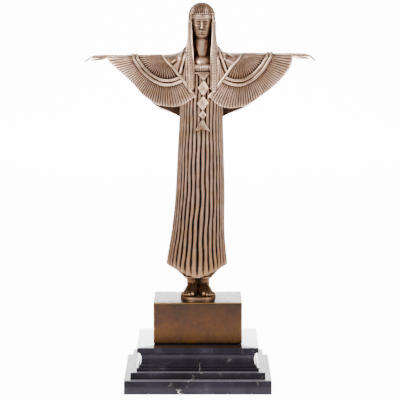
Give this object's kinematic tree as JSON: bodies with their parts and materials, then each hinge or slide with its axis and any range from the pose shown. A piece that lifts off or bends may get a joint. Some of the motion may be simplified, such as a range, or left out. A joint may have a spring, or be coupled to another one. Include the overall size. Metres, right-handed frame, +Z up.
{
  "type": "egyptian goddess statue",
  "caption": "Standing bronze figure of an Egyptian goddess with outstretched pleated sleeves, on a bronze block and a stepped marble base.",
  "frame": {"origin": "centre of the marble base's underside", "axes": "+Z up, the figure faces -Y and its arms reach along X"},
  "size_m": [0.303, 0.158, 0.5045],
  "materials": {
    "figure_bronze": "brown patinated cast bronze, rubbed bright on the raised parts",
    "block_bronze": "satin golden brown bronze, lightly brushed",
    "black_marble": "polished black marble with thin cream veins"
  },
  "bodies": {
    "root": {"goddess_figure": "figure_bronze", "bronze_block": "block_bronze", "marble_base": "black_marble"}
  },
  "joints": []
}
